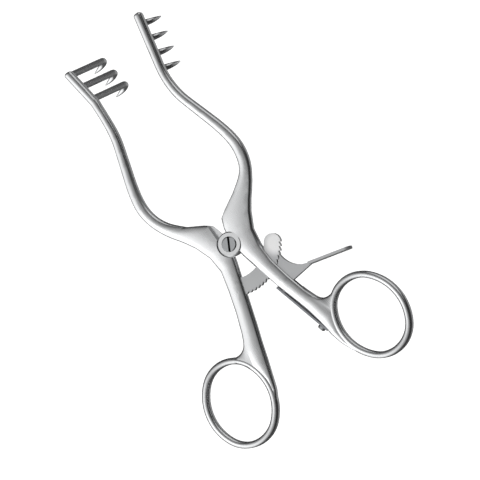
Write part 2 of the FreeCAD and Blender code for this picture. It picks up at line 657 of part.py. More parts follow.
def left_half():
    body = blank("left")
    lap(body, "left")
    bore = new_sketch(body, "left_bore", lift="body_thick")
    circle(bore, "screw_shank_radius")
    pocket(body, bore, "left_pivot_thread", "2 * body_thick")
    slot = new_sketch(body, "left_slot_outline")
    inner, outer = "rack_inner - 0.02", "rack_outer + 0.02"
    outline(slot, [("-(%s) * sin(rack_root_turn)" % inner, "-(%s) * cos(rack_root_turn)" % inner),
                   ("-(%s) * sin(4)" % inner, "-(%s) * cos(4)" % inner),
                   ("-(%s) * sin(4)" % outer, "-(%s) * cos(4)" % outer),
                   ("-(%s) * sin(rack_root_turn)" % outer, "-(%s) * cos(rack_root_turn)" % outer)],
            {0: (inner, 1), 2: (outer, -1)})
    pocket(body, slot, "left_slot", "rack_thick", both_ways=True)
    holes = new_sketch(body, "left_rivet_outlines", lift="body_thick")
    for centre in rivet_places():
        circle(holes, "rivet_radius", centre)
    pocket(body, holes, "left_rivet_holes", "2 * body_thick")
    return body


def rivet_places():
    middle = "(rack_inner + rack_outer) / 2"
    return [("-(%s %s rivet_spread / 2) * sin(rivet_turn)" % (middle, sign),
             "-(%s %s rivet_spread / 2) * cos(rivet_turn)" % (middle, sign))
            for sign in ("-", "+")]


# Pivot screw

def pivot_screw():
    body = new_body("pivot_screw")
    profile = new_sketch(body, "screw_profile", "XZ_Plane")
    top = "body_thick / 2 + nose_proud + screw_head_proud"
    under = "%s - screw_head_tall" % top
    outline(profile, [("0.01", "-body_thick / 2 - nose_proud"),
                      ("screw_shank_radius", "-body_thick / 2 - nose_proud"),
                      ("screw_shank_radius", under), ("screw_head_radius", under),
                      ("screw_head_radius", "%s - screw_edge" % top),
                      ("screw_head_radius - screw_edge", top), ("0.01", top)])
    revolve(body, profile, "screw_turning")
    slot = new_sketch(body, "screw_slot_outline", lift=top)
    slot.setExpression("AttachmentOffset.Rotation.Angle", tied("screw_slot_turn"))
    outline(slot, [("-screw_head_radius - 1", "-screw_slot_wide / 2"),
                   ("screw_head_radius + 1", "-screw_slot_wide / 2"),
                   ("screw_head_radius + 1", "screw_slot_wide / 2"),
                   ("-screw_head_radius - 1", "screw_slot_wide / 2")])
    pocket(body, slot, "screw_slot", "screw_slot_deep")
    return body


# Arc rack with its rivets

def ratchet_bar():
    body = new_body("ratchet_bar")
    middle, cap = "(rack_inner + rack_outer) / 2", "(rack_outer - rack_inner) / 2"
    sketch = new_sketch(body, "rack_outline")
    outline(sketch, [("-rack_inner * sin(rack_root_turn)", "-rack_inner * cos(rack_root_turn)"),
                     ("rack_inner * sin(rack_end_turn)", "-rack_inner * cos(rack_end_turn)"),
                     ("rack_outer * sin(rack_end_turn)", "-rack_outer * cos(rack_end_turn)"),
                     ("-rack_outer * sin(rack_root_turn)", "-rack_outer * cos(rack_root_turn)")],
            {0: ("rack_inner", 1), 1: ("(%s) * 1.0001" % cap, -1), 2: ("rack_outer", -1)})
    pad(body, sketch, "rack_plate", "rack_thick", both_ways=True)
    holes = new_sketch(body, "rack_rivet_outlines", lift="body_thick")
    for centre in rivet_places():
        circle(holes, "rivet_radius", centre)
    pocket(body, holes, "rack_rivet_holes", "2 * body_thick")
    gullet = new_sketch(body, "gullet_outline")
    gullet.setExpression("AttachmentOffset.Rotation.Angle", tied("-90 - tooth_first"))
    across = "rack_outer * tooth_pitch * 0.0165"
    outline(gullet, [("rack_outer - tooth_deep", "0.01"), ("rack_outer + 0.5", "0.01"),
                     ("rack_outer + 0.5", "-(%s) * 1.3" % across)])
    cut = pocket(body, gullet, "gullet", "rack_thick + 1", both_ways=True)
    ring_of = body.newObject("PartDesign::PolarPattern", "teeth")
    ring_of.Originals = [cut]
    ring_of.Axis = (origin_part(body, "Z_Axis"), [""])
    ring_of.Mode = "Extent"
    ring_of.setExpression("Angle", tied("tooth_pitch * (tooth_count - 1)"))
    ring_of.setExpression("Occurrences", tied("tooth_count"))
    body.Tip = ring_of
    return body


def ratchet_rivets():
    body = new_body("ratchet_rivets")
    sketch = new_sketch(body, "rivet_outlines")
    for centre in rivet_places():
        circle(sketch, "rivet_radius", centre)
    pad(body, sketch, "rivets", "body_thick - face_crown", both_ways=True)
    return body


# Release lever

def release_lever():
    body = new_body("release_lever")
    tip = "(rack_outer + pawl_gap)"
    plate = new_sketch(body, "pawl_outline")
    foot_out = "pin_out - pawl_boss * sin(70)"
    outline(plate, [
        ("%s * sin(nose_turn_near)" % tip, "-%s * cos(nose_turn_near)" % tip),
        ("pin_out - pawl_boss", "-pin_depth"),
        ("pin_out - heel_radius * 2.6", "-pin_depth - heel_reach + heel_radius * 0.4"),
        ("pin_out - heel_radius * 0.9", "-pin_depth - heel_reach"),
        ("pin_out + pawl_boss", "-pin_depth - 1.9"),
        ("tab_root_out", "-tab_root_depth - tab_thick"),
        ("tab_root_out", "-tab_root_depth"),
        ("%s * sin(nose_turn_far)" % tip, "-%s * cos(nose_turn_far)" % tip)],
        {2: ("heel_radius", 1), 6: ("pawl_side_radius", -1), 7: (tip, -1)})
    pad(body, plate, "pawl_plate", "rack_thick", both_ways=True)
    tab = new_sketch(body, "tab_outline")
    along, down = "tab_long * cos(tab_slope)", "tab_long * sin(tab_slope)"
    side, low = "tab_thick * sin(tab_slope)", "tab_thick * cos(tab_slope)"
    outline(tab, [("tab_root_out - 0.6", "-tab_root_depth + 0.15"),
                  ("tab_root_out - 0.6 - (%s)" % side, "-tab_root_depth + 0.15 - (%s)" % low),
                  ("tab_root_out + %s - (%s)" % (along, side),
                   "-tab_root_depth - %s - (%s)" % (down, low)),
                  ("tab_root_out + %s" % along, "-tab_root_depth - %s" % down)])
    tongue = pad(body, tab, "thumb_tab", "tab_wide", both_ways=True)
    far = worth("tab_root_out + 0.8 * tab_long")
    wide, thin = worth("tab_wide / 2"), worth("tab_thick")
    soften(body, tongue, "tab_corners", "tab_corner", lambda edge:
           edge.BoundBox.ZLength < 0.01 and edge.BoundBox.XMin > far
           and abs(abs(edge.CenterOfMass.z) - wide) < 0.01 and edge.Length < 2 * thin)
    hole = new_sketch(body, "pawl_pin_outline", lift="body_thick")
    circle(hole, "pin_radius + running_gap", ("pin_out", "-pin_depth"))
    pocket(body, hole, "pawl_pin_hole", "2 * body_thick")
    return body


def lever_pin():
    pin = doc.addObject("Part::Cylinder", "lever_pin")
    pin.Label = "lever_pin"
    pin.setExpression("Radius", tied("pin_radius"))
    pin.setExpression("Height", tied("body_thick"))
    pin.setExpression("Placement.Base.x", tied("pin_out"))
    pin.setExpression("Placement.Base.y", tied("-pin_depth"))
    pin.setExpression("Placement.Base.z", tied("-body_thick / 2"))
    return pin


# Leaf spring and its screw

def lever_spring():
    body = new_body("lever_spring")
    leaf = new_sketch(body, "leaf_outline")
    outline(leaf, [("-spring_wide / 2", "-spring_below"), ("spring_wide / 2", "-spring_below"),
                   ("spring_wide / 2", LEAF_ABOVE), ("-spring_wide / 2", LEAF_ABOVE)])
    circle(leaf, "small_shank_radius")
    pad(body, leaf, "leaf", "spring_thick")
    place_on_seat(body)
    return body


def spring_screw():
    body = new_body("spring_screw")
    profile = new_sketch(body, "small_screw_profile", "XZ_Plane")
    top = "spring_thick + small_head_tall"
    outline(profile, [("0.01", "-small_shank_long"), ("small_shank_radius", "-small_shank_long"),
                      ("small_shank_radius", "spring_thick"),
                      ("small_head_radius", "spring_thick"),
                      ("small_head_radius", "%s - 0.3" % top),
                      ("small_head_radius - 0.3", top), ("0.01", top)])
    revolve(body, profile, "small_screw_turning")
    slot = new_sketch(body, "small_slot_outline", lift=top)
    outline(slot, [("-small_slot_wide / 2", "-small_head_radius - 1"),
                   ("small_slot_wide / 2", "-small_head_radius - 1"),
                   ("small_slot_wide / 2", "small_head_radius + 1"),
                   ("-small_slot_wide / 2", "small_head_radius + 1")])
    pocket(body, slot, "small_slot", "small_slot_deep")
    place_on_seat(body)
    return body


# Build, check and write

pieces = [left_half(), right_half(), pivot_screw(), ratchet_bar(), ratchet_rivets(),
          release_lever(), lever_pin(), lever_spring(), spring_screw()]
doc.recompute()

for thing in doc.Objects:
    if "Invalid" in thing.State or "Error" in thing.State:
        raise RuntimeError("%s did not build: %s" % (thing.Name, thing.State))
for piece in pieces:
    if piece.Shape.isNull() or not piece.Shape.isValid() or not piece.Shape.Solids:
        raise RuntimeError("%s has no valid solid" % piece.Label)
for piece in pieces:
    piece.Shape.exportStep("parts/%s.step" % piece.Label)
    print("%-16s %2d solid(s) %10.2f mm3" % (
        piece.Label, len(piece.Shape.Solids), piece.Shape.Volume))
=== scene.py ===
import json
import math

import bmesh
import bpy
import numpy as np
from bpy.props import FloatProperty, FloatVectorProperty, PointerProperty
from mathutils import Matrix, Vector


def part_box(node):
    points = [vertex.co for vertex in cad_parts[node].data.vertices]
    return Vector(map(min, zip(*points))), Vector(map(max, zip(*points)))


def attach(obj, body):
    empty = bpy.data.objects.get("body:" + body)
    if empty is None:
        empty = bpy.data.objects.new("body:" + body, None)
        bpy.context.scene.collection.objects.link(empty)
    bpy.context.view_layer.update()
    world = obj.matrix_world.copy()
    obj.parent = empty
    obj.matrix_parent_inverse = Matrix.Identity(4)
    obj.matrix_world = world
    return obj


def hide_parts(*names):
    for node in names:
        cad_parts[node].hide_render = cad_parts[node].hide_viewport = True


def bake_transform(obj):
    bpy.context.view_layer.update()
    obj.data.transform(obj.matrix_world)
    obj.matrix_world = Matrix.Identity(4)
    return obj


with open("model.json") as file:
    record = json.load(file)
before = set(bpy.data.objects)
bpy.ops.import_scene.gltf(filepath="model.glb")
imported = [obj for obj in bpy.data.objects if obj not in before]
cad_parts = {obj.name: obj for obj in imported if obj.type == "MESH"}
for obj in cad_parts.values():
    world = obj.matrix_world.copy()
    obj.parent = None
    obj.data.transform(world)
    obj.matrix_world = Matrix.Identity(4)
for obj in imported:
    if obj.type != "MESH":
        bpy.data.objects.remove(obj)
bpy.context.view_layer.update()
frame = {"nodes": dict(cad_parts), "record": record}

# Self retaining retractor, dressed: polished stainless steel halves, hooked prongs, arc rack,
# release lever and leaf spring. Metres, in the frame of the solids: the origin is on the hinge
# axis at mid-thickness, +Y runs up the middle to the jaws, +X to the four-prong half, +Z out
# of the face with the screw's head.

bl_info = {
    "name": "Self Retaining Retractor",
    "version": (1, 0, 0),
    "blender": (4, 5, 0),
    "location": "3D View > Sidebar > Retractor",
    "description": "Finishes the retractor's pieces and sets the studio round them",
    "category": "Object",
}

MM = 0.001
BODY_OF = {node: body for body, nodes in frame["record"]["behaviour"]["bodies"].items()
           for node in nodes}


def linear(code):
    """Linear colour of an sRGB hex code."""
    parts = [int(code[i:i + 2], 16) / 255 for i in (1, 3, 5)]
    return tuple(p / 12.92 if p <= 0.04045 else ((p + 0.055) / 1.055) ** 2.4 for p in parts)


# Sizes and colours a user would change

class RetractorFinish(bpy.types.PropertyGroup):
    forged_colour: FloatVectorProperty(
        name="Forged steel", description="Colour of the satin polished halves",
        default=linear("#D9DADB"), size=3, subtype="COLOR", min=0, max=1)
    forged_gloss: FloatProperty(
        name="Satin roughness", description="Roughness of the satin polished halves",
        default=0.27, min=0.05, max=0.8, subtype="FACTOR")
    # Painted shade: the hooks' points are coloured dark
    tip_shade_colour: FloatVectorProperty(
        name="Hook point shade", description="Colour of the shade painted on the hooks' points",
        default=linear("#4A4B4D"), size=3, subtype="COLOR", min=0, max=1)
    plate_colour: FloatVectorProperty(
        name="Blasted plate", description="Colour of the rack and the pawl, left matt",
        default=linear("#C2C3C4"), size=3, subtype="COLOR", min=0, max=1)
    # Painted highlight on the rack's round end
    end_highlight_colour: FloatVectorProperty(
        name="End highlight", description="Colour of the highlight painted on the rack's round end",
        default=linear("#FAFAFA"), size=3, subtype="COLOR", min=0, max=1)
    plate_gloss: FloatProperty(
        name="Matt roughness", description="Roughness of the rack and the pawl",
        default=0.55, min=0.05, max=0.9, subtype="FACTOR")
    spring_colour: FloatVectorProperty(
        name="Spring steel", description="Colour of the leaf spring",
        default=linear("#8E9094"), size=3, subtype="COLOR", min=0, max=1)
    screw_colour: FloatVectorProperty(
        name="Turned steel", description="Colour of the screws",
        default=linear("#A6A8AA"), size=3, subtype="COLOR", min=0, max=1)
    # Painted shade inside the hinge screw's slot
    slot_shade_colour: FloatVectorProperty(
        name="Slot shade", description="Colour of the shade painted inside the hinge screw's slot",
        default=linear("#2A2A2B"), size=3, subtype="COLOR", min=0, max=1)
    screw_gloss: FloatProperty(
        name="Turned roughness", description="Roughness of the screws",
        default=0.25, min=0.05, max=0.8, subtype="FACTOR")


class RetractorStage(bpy.types.PropertyGroup):
    floor_drop: FloatProperty(
        name="Floor level", description="How far the floor lies under the hinge",
        default=0.16, min=0.031, max=1.0, unit="LENGTH", subtype="DISTANCE")
    floor_colour: FloatVectorProperty(
        name="Floor", description="Colour of the plain paper floor",
        default=linear("#F7F7F7"), size=3, subtype="COLOR", min=0, max=1)
    key_power: FloatProperty(
        name="Key light", description="Power of the large soft light in watts",
        default=1.5, min=0.0, max=500.0)
    lens: FloatProperty(
        name="Lens", description="Focal length of the camera in millimetres",
        default=339.2, min=20.0, max=600.0)


# Helpers for meshes and materials

# An edge that turns more than CREASE stays sharp, or SOFT_CREASE on the rings' bevels, which
# lie below RING_TOP. Points nearer than JOIN become one, and edges under SLIVER are dropped.
CREASE, SOFT_CREASE = math.radians(34), math.radians(52)
RING_TOP = -30 * MM
JOIN, SLIVER = 2e-6, 1e-6


def add_node(tree, kind, settings=None, links=None):
    """Adds one node, with its sockets' values or its attributes, and its incoming links."""
    node = tree.nodes.new(kind)
    for key, value in (settings or {}).items():
        if key in node.inputs:
            node.inputs[key].default_value = value
        else:
            setattr(node, key, value)
    for key, source in (links or {}).items():
        tree.links.new(source, node.inputs[key])
    return node


def fresh_material(name):
    """An empty node material with its output node."""
    material = bpy.data.materials.new(name)
    material.use_nodes = True
    material.node_tree.nodes.clear()
    output = add_node(material.node_tree, "ShaderNodeOutputMaterial")
    return material, material.node_tree, output


def brushed_steel(name, colour, gloss, grain_mm, stretch, depth_mm, strength=0.12, highlight_spot=None):
    """Stainless steel with a fine directional grain: gloss wavers a little along the grain.
    The last argument, if given, is a painted highlight: a bright spot's centre, radius and colour."""
    material, tree, output = fresh_material(name)
    place = add_node(tree, "ShaderNodeTexCoord").outputs["Object"]
    scaled = add_node(tree, "ShaderNodeMapping", {"Scale": [s / (grain_mm * MM) for s in stretch]},
                      {"Vector": place}).outputs["Vector"]
    grain = add_node(tree, "ShaderNodeTexNoise", {"Scale": 1.0, "Detail": 2.0},
                     {"Vector": scaled}).outputs["Fac"]
    cloud = add_node(tree, "ShaderNodeTexNoise", {"Scale": 1 / (14 * MM), "Detail": 1.0},
                     {"Vector": place}).outputs["Fac"]
    mixed = add_node(tree, "ShaderNodeMath", {"operation": "ADD"}).outputs["Value"]
    tree.links.new(grain, mixed.node.inputs[0])
    tree.links.new(cloud, mixed.node.inputs[1])
    rough = add_node(tree, "ShaderNodeMapRange",
                     {"From Min": 0.6, "From Max": 1.4, "To Min": gloss * 0.85,
                      "To Max": gloss * 1.15}, {"Value": mixed}).outputs["Result"]
    bump = add_node(tree, "ShaderNodeBump", {"Strength": strength, "Distance": depth_mm * MM},
                    {"Height": grain}).outputs["Normal"]
    shader = add_node(tree, "ShaderNodeBsdfPrincipled",
                      {"Base Color": (*colour, 1), "Metallic": 1.0},
                      {"Roughness": rough, "Normal": bump})
    # Painted highlight: the base colour turns bright towards the spot's centre
    if highlight_spot is not None:
        centre, radius, bright = highlight_spot
        away = add_node(tree, "ShaderNodeVectorMath", {"operation": "DISTANCE"})
        tree.links.new(place, away.inputs[0])
        away.inputs[1].default_value = centre
        painted_highlight = add_node(tree, "ShaderNodeMapRange",
                          {"From Min": radius, "From Max": 0.4 * radius,
                           "interpolation_type": "SMOOTHSTEP"},
                          {"Value": away.outputs["Value"]}).outputs["Result"]
        mix = add_node(tree, "ShaderNodeMixRGB",
                       {"Color1": (*colour, 1), "Color2": (*bright, 1)}, {"Fac": painted_highlight})
        tree.links.new(mix.outputs["Color"], shader.inputs["Base Color"])
    tree.links.new(shader.outputs["BSDF"], output.inputs["Surface"])
    return material


def read(items, name, width=3, kind=float):
    """One attribute of all the items of a mesh, with a row for each item."""
    values = np.empty(len(items) * width, kind)
    items.foreach_get(name, values)
    return values.reshape(-1, width) if width > 1 else values


def merged_copy(node, name, reshape=None, soft_below=-1.0, weighted=True):
    """A CAD node's surface with its loose triangles joined, smooth except at real edges.
    reshape may refine the joined mesh before its edges are marked. Below soft_below the
    bevels are rounded off too, and weighted keeps flat faces flat beside rounded ones. The
    result is kept inside the node's box."""
    mesh = frame["nodes"][node].data.copy()
    mesh.name = name
    work = bmesh.new()
    work.from_mesh(mesh)
    bmesh.ops.remove_doubles(work, verts=work.verts, dist=JOIN)
    bmesh.ops.dissolve_degenerate(work, edges=work.edges, dist=SLIVER)
    if reshape is not None:
        reshape(work)
    for face in work.faces:
        face.smooth = True
    for edge in work.edges:
        soft = edge.verts[0].co.y < soft_below and edge.is_convex
        crease = SOFT_CREASE if soft else CREASE
        edge.smooth = len(edge.link_faces) == 2 and edge.calc_face_angle(0) < crease
    work.to_mesh(mesh)
    work.free()
    low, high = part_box(node)
    mesh.vertices.foreach_set("co", np.clip(read(mesh.vertices, "co"), low, high).ravel())
    mesh.update()
    mesh.materials.clear()
    piece = bpy.data.objects.new(name, mesh)
    bpy.context.scene.collection.objects.link(piece)
    if weighted:
        piece.modifiers.new("flat faces stay flat", "WEIGHTED_NORMAL").keep_sharp = True
    return piece


# Forged halves: walls drawn smooth between the CAD's sections, and round hooked prongs

OUT = {"left": -1.0, "right": 1.0}
ARM_FROM, ARM_TO = 16 * MM, 79 * MM
CUT_STEP = 1.2 * MM
# FACE is just outside the halves' faces, which lie 2.5 mm from the middle. Beyond BAR_FROM
# all that reaches under the faces is prong.
FACE, BAR_FROM = 2.6 * MM, 65 * MM

# The screw's slot and the prongs, sized as in the solids. The prongs are 0.15 mm shorter,
# as the round hook would reach that far below the solid's short straight runs.
SLOT_WIDE, SLOT_TURN = 0.88 * MM, math.radians(63)
BAR_END = {"left": (19.0 * MM, 95.6 * MM), "right": (19.0 * MM, 98.5 * MM)}
BAR_LEAN = {"left": math.radians(10.3), "right": math.radians(9.9)}
FIRST_PRONG = {"left": 1.5 * MM, "right": 1.25 * MM}
PRONGS = {"left": 3, "right": 4}
PRONG_PITCH, PRONG_LONG, PRONG_WIDE = 6.7 * MM, 25.15 * MM, 2.75 * MM
PRONG_LEAN, PRONG_RAKE = math.radians(17.5), math.radians(2.7)
HOOK_RADIUS, HOOK_TURN, POINT_WIDE = 5.2 * MM, math.radians(130.8), 0.3 * MM
# Share of each hook's arc left plain; the rest, to the point, is coloured with painted shade
TIP_SHADE_SHARE = {"left": 0.45, "right": 0.15}


def vertex_array(work):
    """Places of all the vertices, a row for each."""
    mesh = bpy.data.meshes.new("places")
    work.to_mesh(mesh)
    places = read(mesh.vertices, "co")
    bpy.data.meshes.remove(mesh)
    return places


def move_vertices(work, places):
    """Puts every vertex in its new place, all at once in a plain mesh."""
    mesh = bpy.data.meshes.new("moved")
    work.to_mesh(mesh)
    mesh.vertices.foreach_set("co", places.ravel())
    work.clear()
    work.from_mesh(mesh)
    bpy.data.meshes.remove(mesh)


def spline(knots, values, at):
    """Natural cubic spline: through every knot, with slope and bend unbroken."""
    step = np.diff(knots)
    rise = np.diff(values, axis=0) / step[:, None]
    system = np.eye(len(knots))
    pull = np.zeros_like(values)
    inner = np.arange(1, len(knots) - 1)
    system[inner, inner - 1] = step[:-1]
    system[inner, inner] = 2 * (step[:-1] + step[1:])
    system[inner, inner + 1] = step[1:]
    pull[inner] = 6 * np.diff(rise, axis=0)
    bend = np.linalg.solve(system, pull)
    cell = np.clip(np.searchsorted(knots, at) - 1, 0, len(knots) - 2)
    size = step[cell][:, None]
    low = ((knots[cell + 1] - at)[:, None]) / size
    high = 1 - low
    return (low * values[cell] + high * values[cell + 1]
            + ((low ** 3 - low) * bend[cell] + (high ** 3 - high) * bend[cell + 1]) * size ** 2 / 6)


def arm_sections(points, side):
    """Heights of the CAD's sections along the arm, with the inner and outer wall at each. A
    section is a height that more than 15 of the solid's points share."""
    out = points[:, 0] * OUT[side]
    flat = np.abs(points[:, 2]) < FACE
    level = np.round(points[:, 1] / MM, 3)
    heights, count = np.unique(level[flat], return_counts=True)
    chosen = heights[(count > 15) & (heights > ARM_FROM / MM - 0.1)
                     & (heights < BAR_END[side][1] / MM - 1.0)]
    walls = np.array([(out[flat & (level == height)].min(), out[flat & (level == height)].max())
                      for height in chosen])
    return chosen * MM, walls


def smooth_walls(work, side):
    """Moves the arm's walls from straight runs between sections onto a smooth curve: each
    point keeps its share of the way from the inner wall to the outer one."""
    heights, walls = arm_sections(vertex_array(work), side)
    for height in np.arange(ARM_FROM + CUT_STEP / 2, ARM_TO + 2 * MM, CUT_STEP):
        bmesh.ops.bisect_plane(work, geom=work.verts[:] + work.edges[:] + work.faces[:],
                               dist=SLIVER, plane_co=(0, height, 0), plane_no=(0, 1, 0))
    points = vertex_array(work)
    bar = np.arange(ARM_TO + 5 * MM, heights[-1] - 2 * MM, 5 * MM)
    knots = np.concatenate([heights, bar])
    order = np.argsort(knots)
    straight = np.stack([np.interp(knots, heights, walls[:, k]) for k in (0, 1)], 1)
    inside = (points[:, 1] > heights[0]) & (points[:, 1] < heights[-1])
    inside &= np.abs(points[:, 2]) < FACE
    at = points[inside, 1]
    before = np.stack([np.interp(at, heights, walls[:, k]) for k in (0, 1)], 1)
    after = spline(knots[order], straight[order], at)
    out = points[inside, 0] * OUT[side]
    share = (out - before[:, 0]) / (before[:, 1] - before[:, 0])
    points[inside, 0] = OUT[side] * (after[:, 0] + share * (after[:, 1] - after[:, 0]))
    move_vertices(work, points)


def prong_mesh(side):
    """Round prongs: a straight shank, then an arc of the hook's radius, with rings round the
    line whose radius falls as one less the share of the arc to the power 3.4."""
    rings, around = 44, 28
    shank = np.linspace(-1.0 * MM, PRONG_LONG, 6)[:-1]
    share = np.linspace(0, 1, rings)
    turned = HOOK_TURN * share
    along = np.concatenate([shank, PRONG_LONG + HOOK_RADIUS * np.sin(turned)])
    aside = np.concatenate([0 * shank, HOOK_RADIUS * (1 - np.cos(turned))])
    angle = np.concatenate([0 * shank, turned])
    taper = np.concatenate([1 + 0 * shank, 1 - share ** 3.4])
    radius = ((PRONG_WIDE - POINT_WIDE) * taper + POINT_WIDE) / 2
    lean = OUT[side] * PRONG_LEAN
    down = -np.array([math.cos(PRONG_RAKE) * math.sin(lean), -math.sin(PRONG_RAKE),
                      math.cos(PRONG_RAKE) * math.cos(lean)])
    outward = OUT[side] * np.array([math.cos(lean), 0, -math.sin(lean)])
    across = np.cross(down, outward)
    line = along[:, None] * down + aside[:, None] * outward
    normal = np.cos(angle)[:, None] * outward - np.sin(angle)[:, None] * down
    turn = np.linspace(0, 2 * math.pi, around, endpoint=False)
    shell = (line[:, None] + radius[:, None, None] * (
        np.cos(turn)[None, :, None] * normal[:, None] + np.sin(turn)[None, :, None] * across))
    tip = line[-1] + POINT_WIDE * 0.3 * (np.cos(HOOK_TURN) * down + np.sin(HOOK_TURN) * outward)
    one = np.concatenate([shell.reshape(-1, 3), line[:1], tip[None]])
    rows = len(line)
    first, second = np.arange(around), (np.arange(around) + 1) % around
    start = (np.arange(rows - 1) * around)[:, None]
    quads = np.stack([start + first, start + second, start + around + second,
                      start + around + first], 2).reshape(-1, 4)
    pole, last = rows * around, (rows - 1) * around
    caps = np.concatenate([np.stack([second, first, 0 * first + pole], 1),
                           np.stack([last + first, last + second, 0 * first + pole + 1], 1)])
    yaw = -OUT[side] * BAR_LEAN[side]
    swing = np.array([[math.cos(yaw), -math.sin(yaw), 0], [math.sin(yaw), math.cos(yaw), 0],
                      [0, 0, 1]])
    end = np.array([OUT[side] * BAR_END[side][0], BAR_END[side][1], 0])
    places = -FIRST_PRONG[side] - PRONG_PITCH * np.arange(PRONGS[side])
    sets = [(one + np.array([0, place, 0])) @ swing.T + end for place in places]
    step = len(one) * np.arange(PRONGS[side])
    faces = [(quads[None] + step[:, None, None]).reshape(-1, 4).tolist(),
             (caps[None] + step[:, None, None]).reshape(-1, 3).tolist()]
    mesh = bpy.data.meshes.new(side + "_prongs")
    mesh.from_pydata(np.concatenate(sets).tolist(), [], faces[0] + faces[1])
    ring = np.tile(np.repeat(np.arange(rows - 1), around), PRONGS[side])
    cap_ring = np.tile(np.repeat([0, rows], around), PRONGS[side])
    # Painted shade: the hook's arc past its share, and the point's cap, take the dark second
    # material
    tip_shade_mask = np.concatenate([ring, cap_ring]) >= len(shank) + TIP_SHADE_SHARE[side] * rings
    mesh.polygons.foreach_set("material_index", tip_shade_mask.astype(np.int32))
    return mesh


def round_prongs(work, side):
    """Takes the solid's faceted prongs off under the bar and sets the round ones in place."""
    under = [face for face in work.faces
             if min(vertex.co.z for vertex in face.verts) < -FACE
             and min(vertex.co.y for vertex in face.verts) > BAR_FROM]
    bmesh.ops.delete(work, geom=under, context="FACES")
    rims = [edge for edge in work.edges if len(edge.link_faces) == 1]
    bmesh.ops.holes_fill(work, edges=rims, sides=0)
    prongs = prong_mesh(side)
    work.from_mesh(prongs)
    bpy.data.meshes.remove(prongs)


def forged_form(side):
    """The reshaping that merged_copy does on one half."""
    def reshape(work):
        smooth_walls(work, side)
        round_prongs(work, side)
    return reshape


def paint_slot_shade(mesh):
    """Gives the second material, a painted shade, to the faces inside the hinge screw's slot."""
    centre, normal = read(mesh.polygons, "center"), read(mesh.polygons, "normal")
    across = np.array([-math.sin(SLOT_TURN), math.cos(SLOT_TURN), 0])
    # The faces that take the painted shade: the slot's walls and floor
    inside = (np.abs(centre @ across) < SLOT_WIDE / 2 + 0.01 * MM)
    inside &= centre[:, 2] > centre[:, 2].max() - 1.2 * MM
    inside &= (np.abs(normal @ across) > 0.9) | (centre[:, 2] < centre[:, 2].max() - 0.8 * MM)
    mesh.polygons.foreach_set("material_index", inside.astype(np.int32))
    mesh.update()


def blend_ends(piece, host):
    """Ground flush: the ends of a rivet or pin take the direction of the surface round them."""
    surface, mesh = host.data, piece.data
    corner = read(surface.corner_normals, "vector")
    faced = np.abs(corner[:, 2]) > 0.5
    spot = read(surface.loops, "vertex_index", 1, np.int32)[faced]
    corner, at = corner[faced], read(surface.vertices, "co")[spot]
    own = read(mesh.corner_normals, "vector")
    ends = np.flatnonzero(np.abs(own[:, 2]) > 0.9)
    rim, back = np.unique(read(mesh.loops, "vertex_index", 1, np.int32)[ends], return_inverse=True)
    here = read(mesh.vertices, "co")[rim][:, None]
    apart = np.linalg.norm(at[:, :2] - here[..., :2], axis=2)
    same_side = (at[:, 2] * here[..., 2] > 0) & (corner[:, 2] * here[..., 2] > 0)
    own[ends] = corner[np.argmin(apart + np.where(same_side, 0, 1), axis=1)][back]
    mesh.normals_split_custom_set(own.tolist())


def dress(piece, node, material):
    """The piece takes the CAD node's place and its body."""
    piece.data.materials.append(material)
    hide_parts(node)
    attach(piece, BODY_OF[node])
    return piece


# Operators, one for each piece or group of like pieces

class RETRACTOR_OT_halves(bpy.types.Operator):
    """Finishes the two forged halves in satin polished steel"""
    bl_idname = "retractor.halves"
    bl_label = "Forged halves"

    def execute(self, context):
        look = context.scene.retractor_finish
        # Forged stainless steel, ground and satin polished: soft, bright reflections
        # The grain is drawn 1.2 mm wide, far coarser than real, so that it doesn't sparkle
        steel = brushed_steel("Satin polished stainless steel", look.forged_colour,
                              look.forged_gloss, 1.2, (1, 0.1, 1), 0.01, 0.04)
        # Painted shade on the hooks' points: a dark, dull second material
        points = brushed_steel("Steel hook points with painted shade", look.tip_shade_colour, 0.45,
                               0.4, (1, 1, 1), 0.02)
        for side in ("left", "right"):
            piece = merged_copy(side + "_half", side + "_half_polished", forged_form(side),
                                RING_TOP, weighted=False)
            dress(piece, side + "_half", steel)
            piece.data.materials.append(points)
        return {"FINISHED"}


class RETRACTOR_OT_rack(bpy.types.Operator):
    """Finishes the arc rack and its rivets"""
    bl_idname = "retractor.rack"
    bl_label = "Arc rack"

    def execute(self, context):
        look = context.scene.retractor_finish
        # Stamped and blasted stainless plate: even matt grey
        plate = brushed_steel("Blasted stainless plate", look.plate_colour,
                              look.plate_gloss, 0.25, (1, 1, 1), 0.02)
        rack = merged_copy("ratchet_bar", "arc_rack")
        # The painted highlight sits in the middle of the rack's last 6 mm
        places = read(rack.data.vertices, "co")
        end = places[places[:, 0] > places[:, 0].max() - 6 * MM].mean(0)
        # The same plate, with a highlight painted on the round end
        painted_highlight = brushed_steel("Blasted stainless plate, painted highlight on end", look.plate_colour,
                               look.plate_gloss, 0.25, (1, 1, 1), 0.02,
                               highlight_spot=(tuple(end), 6.5 * MM, look.end_highlight_colour))
        dress(rack, "ratchet_bar", painted_highlight)
        satin = bpy.data.materials["Satin polished stainless steel"]
        rivets = dress(merged_copy("ratchet_rivets", "rack_rivets", weighted=False),
                       "ratchet_rivets", satin)
        blend_ends(rivets, bpy.data.objects["left_half_polished"])
        return {"FINISHED"}


class RETRACTOR_OT_lever(bpy.types.Operator):
    """Finishes the release lever and its leaf spring"""
    bl_idname = "retractor.lever"
    bl_label = "Release lever"

    def execute(self, context):
        look = context.scene.retractor_finish
        plate = bpy.data.materials["Blasted stainless plate"]
        dress(merged_copy("release_lever", "pawl_and_thumb_tab"), "release_lever", plate)
        # Cold rolled spring steel: darker, drawn along its length
        spring = brushed_steel("Rolled spring steel", look.spring_colour, 0.4,
                               0.3, (1, 0.1, 1), 0.01)
        leaf = merged_copy("lever_spring", "leaf_spring", weighted=False)
        leaf.data.materials.append(spring)
        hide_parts("lever_spring")
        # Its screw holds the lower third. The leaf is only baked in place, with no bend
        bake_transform(leaf)
        return {"FINISHED"}


